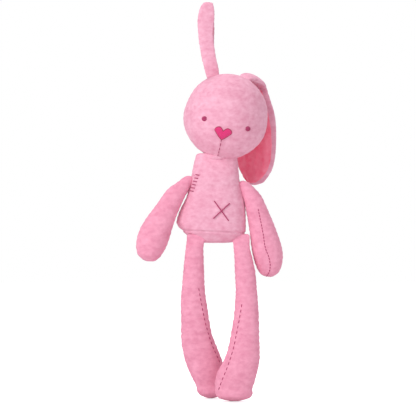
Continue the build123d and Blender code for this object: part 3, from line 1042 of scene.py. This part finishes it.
armPlush = {side: makeArm(side) for side in sides}
armSkin = treeOf(armPlush["left"])
armSeam = [(63.4, 247), (66.5, 232), (69.5, 216), (73.0, 196), (76.5, 187), (78.6, 174), (76.8, 165), (73.5, 160.5)]
armStitches = stitch("left_arm_thread", [pathOn(armSkin, armSeam)], plumThread, 3.9, 3.6, 1.1)
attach(armStitches, "left_arm")
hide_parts("left_arm_stitches")
print("arms made")


leg = dict(around=40, slices=26, rings=50, blend=24, lines={
    "right": [(-13.3, 144), (-9.6, 123), (-5.6, 103), (-0.4, 83.5), (4.2, 70), (9.6, 57.5), (13.0, 50)],
    "left": [(41.7, 124), (38.7, 106.6), (35.2, 88.4), (31.9, 72.8), (28, 59), (22.4, 43.3), (15.6, 26.4),
             (12.7, 18)],
})


def makeLeg(side):
    low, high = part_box(f"{side}_leg_front_panel")
    panels = [f"{side}_leg_front_panel", f"{side}_leg_back_panel"]
    pivot = pivotOf(f"{side}_leg_swing")
    slices = slicesOf(panels, upright, 0.0022, high.z - 0.0006, leg["slices"])
    sole = slices[0]
    knots = [[sole[0], sole[1], 0.0004, sole[3] * 0.35, sole[4] * 0.35],
             [sole[0], sole[1], 0.0009, sole[3] * 0.8, sole[4] * 0.8]]
    knots += slices[::2]
    top = slices[-1]
    knots += [[top[0], top[1], pivot.z + 0.001, top[3], 0.0021],
              [top[0], top[1], pivot.z + 0.0048, top[3] * 0.99, 0.0016]]
    rings = smoothRings(knots, leg["rings"])
    obj = loftRings(f"{side}_leg_plush", rings, leg["around"], upright, minkyRosePaintedShade)
    puff(obj, 3.0, 1.0 * mm, slack=0.03)
    subdivide(obj, 2)

    def creases(co, along):
        height = along / mm
        knee = math.exp(-((height - 96) / 30) ** 2)
        fold = math.sin(height / 11 * 2 * math.pi + 3 * noise.noise(co * 45))
        return 0.45 * knee * fold * max(0, 0.6 + 0.4 * noise.noise(co * 70))

    detail(obj, {**plushDetail, "seed": 17.0 if side == "right" else 19.0}, creases)
    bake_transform(obj)
    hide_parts(f"{side}_leg_front_panel", f"{side}_leg_back_panel", f"{side}_leg_filling", f"{side}_hip_seam")
    skin = treeOf(obj)
    line = stitch(f"{side}_leg_thread", [pathOn(skin, leg["lines"][side])], plumThread, 6.7, 4.6, 1.15)
    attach(line, f"{side}_leg")
    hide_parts(f"{side}_leg_stitches")


for side in sides:
    makeLeg(side)
print("legs made")


def sweepForm(name, stations, around, count, material, grooves=0.0):
    bm = bmesh.new()
    seam = bm.verts.layers.float.new("seam")
    along = bm.verts.layers.float.new("along")
    loops = []
    for distance, value, slope in smoothCurve(stations, 3, count):
        middle = Vector(value[:3]) * mm
        tangent = Vector(slope[:3]).normalized()
        across = Vector(value[3:6])
        across = (across - tangent * across.dot(tangent)).normalized()
        deep = tangent.cross(across).normalized()
        halfWidth, halfThick, cup = value[6] * mm, value[7] * mm, value[8] * mm
        loop = []
        for step in range(around):
            angle = 2 * math.pi * step / around
            c, s = math.cos(angle), math.sin(angle)
            squeeze = 1 - grooves * math.exp(-((min(angle, 2 * math.pi - angle)) / 0.3) ** 2)
            co = middle + across * (halfWidth * c * squeeze) + deep * (halfThick * math.copysign(abs(s) ** 0.8, s)
                                                                      + cup * c * c)
            vert = bm.verts.new(co)
            vert[seam] = s * max(halfThick * 2.5, leastDepth)
            vert[along] = distance * mm
            loop.append(vert)
        loops.append(loop)
    skinLoops(bm, loops, around, seam)
    return addObject(name, bm, material)


# stations: place x, y, z, direction across, half width, half thickness, cup
raisedEar = dict(stations=[
    (6.0, 1.0, 417.0, 1, 0, 0.09, 7.6, 3.4, 0),
    (5.0, 0.5, 423.0, 1, 0, 0.09, 9.0, 4.0, 0),
    (3.4, -1.6, 430.0, 1, 0, 0.09, 9.6, 3.9, 0),
    (0.8, -3.2, 441.0, 1, 0, 0.09, 9.9, 3.6, 0),
    (-1.6, -3.9, 454.0, 1, 0, 0.09, 10.0, 3.4, 0),
    (-4.4, -4.0, 478.0, 1, 0, 0.05, 10.4, 3.3, 0),
    (-3.4, -3.8, 497.0, 1, 0, 0.03, 11.4, 3.2, 0),
    (-2.2, -3.2, 509.0, 1, 0, 0.02, 9.8, 3.1, 0),
    (-1.2, 0.0, 515.6, 1, 0, 0.0, 6.4, 2.9, 0),
    (-2.0, 3.4, 508.5, 1, 0, 0.02, 9.8, 3.0, 0),
    (-3.2, 4.3, 492.0, 1, 0, 0.03, 11.2, 3.0, 0),
    (-2.9, 4.5, 470.0, 1, 0, 0.05, 10.4, 2.9, 0),
    (-1.8, 4.5, 458.0, 1, 0, 0.07, 7.6, 2.6, 0),
    (-1.2, 4.4, 453.5, 1, 0, 0.09, 3.0, 1.6, 0),
])


def makeRaisedEar():
    obj = sweepForm("right_ear_plush", raisedEar["stations"], 32, 64, minkyPinkPaintedSheen, grooves=0.22)
    subdivide(obj, 1)
    detail(obj, {**plushDetail, "lump": 0.5, "lumpSize": 24, "seamDepth": 0.5, "seed": 23.0})
    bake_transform(obj)
    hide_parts("right_ear_outer", "right_ear_gather")


# stations of the lining inside the raised ear's fold, as above
raisedLining = [
    (-0.5, -0.3, 441.0, 1, 0, 0.05, 8.4, 0.3, 0),
    (-3.3, -0.3, 460.0, 1, 0, 0.05, 8.8, 0.3, 0),
    (-4.2, -0.3, 478.0, 1, 0, 0.05, 9.0, 0.3, 0),
    (-3.4, -0.2, 500.0, 1, 0, 0.03, 9.2, 0.3, 0),
    (-3.0, 0.4, 505.5, 1, 0, 0.02, 8.6, 0.3, 0),
    (-3.2, 1.0, 500.0, 1, 0, 0.02, 9.0, 0.3, 0),
    (-3.8, 1.2, 478.0, 1, 0, 0.04, 8.8, 0.3, 0),
    (-2.5, 1.2, 459.0, 1, 0, 0.05, 6.4, 0.3, 0),
]


def makeRaisedLining():
    obj = sweepForm("right_ear_lining_satin", raisedLining, 24, 44, liningCoral)
    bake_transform(obj)
    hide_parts("right_ear_lining")


makeRaisedEar()
makeRaisedLining()
crease = Vector(joints["left_ear_lift"]["pos_m"])
outward = Vector(joints["left_ear_lift"]["axis"]).normalized()
# half width and shift of the hanging ear at distances below its crease
hangingEar = dict(rows=[(3, 12.0, -6.0), (10, 14.1, -5.5), (20, 16.7, -4.8), (38, 22.1, -4.9), (58, 26.7, -6.3),
                        (80, 29.4, -9.0), (100, 28.7, -10.8), (114, 24.1, -11.4), (124, 16.6, -12.4),
                        (130, 9.0, -14.0), (132.8, 3.5, -14.5)])


def droopStations():
    stations = [
        (43.5, 4.5, 413.0, 0.76, -0.65, -0.2, 9.0, 3.4, 0),
        (47.5, 9.5, 419.0, 0.75, -0.62, -0.4, 9.6, 3.8, 0),
        (54.0, 19.0, 420.8, 0.74, -0.54, -0.5, 10.4, 4.2, 0),
        (61.0, 29.0, 418.6, 0.78, -0.5, -0.5, 11.2, 4.2, 0),
        (65.4, 36.0, 413.8, 0.82, -0.5, -0.35, 11.6, 4.0, 0),
    ]
    for below, halfWidth, shift in hangingEar["rows"]:
        place = crease / mm + outward * (shift + 1) - Vector((0, 0, below))
        cup = -3.2 * min(1, below / 40)
        thick = 3.3 - 0.6 * min(1, below / 60) if halfWidth > 5 else 1.6
        stations.append((*place, *outward, halfWidth, thick, cup))
    return stations


def makeDroopingEar():
    obj = sweepForm("left_ear_plush", droopStations(), 48, 76, minkyPinkPaintedSheen)
    subdivide(obj, 1)
    detail(obj, {**plushDetail, "lump": 0.9, "lumpSize": 26, "seamDepth": 0.4, "seed": 29.0})
    facing = outward.cross(Vector((0, 0, 1))).normalized()
    if facing.y > 0:
        facing = -facing
    skin = treeOf(obj)
    depths, halfWidths, shifts = zip(*hangingEar["rows"])
    bm = bmesh.new()
    grid = []
    rows, columns = 52, 26
    for i in range(rows):
        t = i / (rows - 1)
        below = 8 + (130.6 - 8) * t
        halfWidth, shift = np.interp(below, depths, halfWidths), np.interp(below, depths, shifts)
        border = 6.5 - 3.5 * max(0, (t - 0.35) / 0.65)
        inner, outer = -halfWidth + min(2.0, halfWidth * 0.3), halfWidth - min(border, halfWidth * 0.5)
        if outer - inner < 1:
            continue
        line = []
        for j in range(columns):
            s = inner + (outer - inner) * j / (columns - 1)
            start = crease + outward * ((s + shift + 1) * mm) - Vector((0, 0, below * mm)) + facing * 0.05
            hit, normal, _, _ = skin.ray_cast(start, -facing)
            if hit is None:
                hit = start - facing * 0.05
                normal = facing
            edge = min(j, columns - 1 - j, i, rows - 1 - i)
            ripple = 0.35 * math.sin(s * 0.5 + 2 * noise.noise(start * 50))
            puffed = 0.25 + 0.6 * min(1, edge / 3) + ripple * min(1, edge / 4)
            line.append(bm.verts.new(hit + facing * (puffed * mm)))
        grid.append(line)
    for upper, lower in zip(grid, grid[1:]):
        for j in range(columns - 1):
            bm.faces.new((upper[j], lower[j], lower[j + 1], upper[j + 1]))
    turnFacesOut(bm)
    lining = addObject("left_ear_lining_satin", bm, liningCoral)
    if sum((p.normal.dot(facing) for p in lining.data.polygons)) < 0:
        lining.data.flip_normals()
    solid = lining.modifiers.new("thickness", "SOLIDIFY")
    solid.thickness = 0.9 * mm
    solid.offset = -1
    subdivide(lining, 1)
    below = crease - Vector((0, 0, 0.016))
    for piece in (obj, lining):
        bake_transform(piece)
    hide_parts("left_ear_outer", "left_ear_root")
    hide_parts("left_ear_lining")


makeDroopingEar()
print("ears made")
